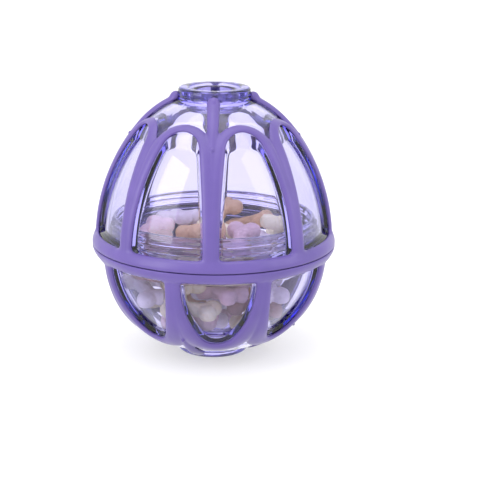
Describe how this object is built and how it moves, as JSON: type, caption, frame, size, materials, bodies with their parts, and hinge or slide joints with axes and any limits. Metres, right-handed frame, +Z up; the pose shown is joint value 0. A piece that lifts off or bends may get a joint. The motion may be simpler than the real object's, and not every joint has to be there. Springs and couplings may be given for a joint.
{
  "type": "treat dispensing ball",
  "caption": "Egg-shaped clear ball in two screwed halves with rubber bumper cages and a flexible prong gate at each end, filled with bone-shaped biscuits.",
  "frame": {"origin": "centre of the bottom collar's rim, on the floor", "axes": "+Z up through both gates, the upper cage's ribbed leg at the front towards -Y, +X to the right"},
  "size_m": [0.12, 0.12, 0.1327],
  "materials": {
    "lower_shell": "clear, violet tint",
    "upper_shell": "clear, violet tint",
    "lower_bumper": "satin",
    "upper_bumper": "satin",
    "lower_gate_ring": "satin",
    "upper_gate_ring": "satin",
    "lower_prong_1": "satin",
    "lower_prong_2": "satin",
    "lower_prong_3": "satin",
    "lower_prong_4": "satin",
    "upper_prong_1": "satin",
    "upper_prong_2": "satin",
    "upper_prong_3": "satin",
    "upper_prong_4": "satin",
    "biscuits_lilac": "baked dough",
    "biscuits_pink": "baked dough",
    "biscuits_cream": "baked dough",
    "biscuits_tan": "baked dough",
    "biscuits_brown": "baked dough"
  },
  "bodies": {
    "lower_half": {"lower_shell": "lower_shell", "lower_bumper": "lower_bumper", "lower_gate_ring": "lower_gate_ring", "biscuits_lilac": "biscuits_lilac", "biscuits_pink": "biscuits_pink", "biscuits_cream": "biscuits_cream", "biscuits_tan": "biscuits_tan", "biscuits_brown": "biscuits_brown"},
    "upper_gate": {"upper_gate_ring": "upper_gate_ring"},
    "upper_half": {"upper_shell": "upper_shell", "upper_bumper": "upper_bumper"},
    "lower_prong_1": {"lower_prong_1": "lower_prong_1"},
    "lower_prong_2": {"lower_prong_2": "lower_prong_2"},
    "lower_prong_3": {"lower_prong_3": "lower_prong_3"},
    "lower_prong_4": {"lower_prong_4": "lower_prong_4"},
    "upper_prong_1": {"upper_prong_1": "upper_prong_1"},
    "upper_prong_2": {"upper_prong_2": "upper_prong_2"},
    "upper_prong_3": {"upper_prong_3": "upper_prong_3"},
    "upper_prong_4": {"upper_prong_4": "upper_prong_4"}
  },
  "joints": [
    {"name": "thread_rise", "type": "slide", "parent": "lower_half", "child": "upper_gate", "axis": [0, 0, 1], "range_m": [0, 0.0144]},
    {"name": "unscrew", "type": "hinge", "parent": "upper_gate", "child": "upper_half", "pos_m": [0, 0, 0.0558], "axis": [0, 0, 1], "range_deg": [0, 1440]},
    {"name": "lower_prong_1_flex", "type": "hinge", "parent": "lower_half", "child": "lower_prong_1", "pos_m": [-0.00248, -0.00734, 0.0056], "axis": [0.9472, -0.3206, 0], "range_deg": [-35, 35], "stiffness_Nm_per_rad": 0.008},
    {"name": "lower_prong_2_flex", "type": "hinge", "parent": "lower_half", "child": "lower_prong_2", "pos_m": [0.00734, -0.00248, 0.0056], "axis": [0.3206, 0.9472, 0], "range_deg": [-35, 35], "stiffness_Nm_per_rad": 0.008},
    {"name": "lower_prong_3_flex", "type": "hinge", "parent": "lower_half", "child": "lower_prong_3", "pos_m": [0.00248, 0.00734, 0.0056], "axis": [-0.9472, 0.3206, 0], "range_deg": [-35, 35], "stiffness_Nm_per_rad": 0.008},
    {"name": "lower_prong_4_flex", "type": "hinge", "parent": "lower_half", "child": "lower_prong_4", "pos_m": [-0.00734, 0.00248, 0.0056], "axis": [-0.3206, -0.9472, 0], "range_deg": [-35, 35], "stiffness_Nm_per_rad": 0.008},
    {"name": "upper_prong_1_flex", "type": "hinge", "parent": "upper_half", "child": "upper_prong_1", "pos_m": [0, -0.00775, 0.12713], "axis": [1, 0, 0], "range_deg": [-35, 35], "stiffness_Nm_per_rad": 0.008},
    {"name": "upper_prong_2_flex", "type": "hinge", "parent": "upper_half", "child": "upper_prong_2", "pos_m": [0.00775, 0, 0.12713], "axis": [0, 1, 0], "range_deg": [-35, 35], "stiffness_Nm_per_rad": 0.008},
    {"name": "upper_prong_3_flex", "type": "hinge", "parent": "upper_half", "child": "upper_prong_3", "pos_m": [0, 0.00775, 0.12713], "axis": [-1, 0, 0], "range_deg": [-35, 35], "stiffness_Nm_per_rad": 0.008},
    {"name": "upper_prong_4_flex", "type": "hinge", "parent": "upper_half", "child": "upper_prong_4", "pos_m": [-0.00775, 0, 0.12713], "axis": [0, -1, 0], "range_deg": [-35, 35], "stiffness_Nm_per_rad": 0.008}
  ],
  "couplings": [
    {"joint": "thread_rise", "follows": "unscrew", "m_per_rad": 0.00057296}
  ]
}
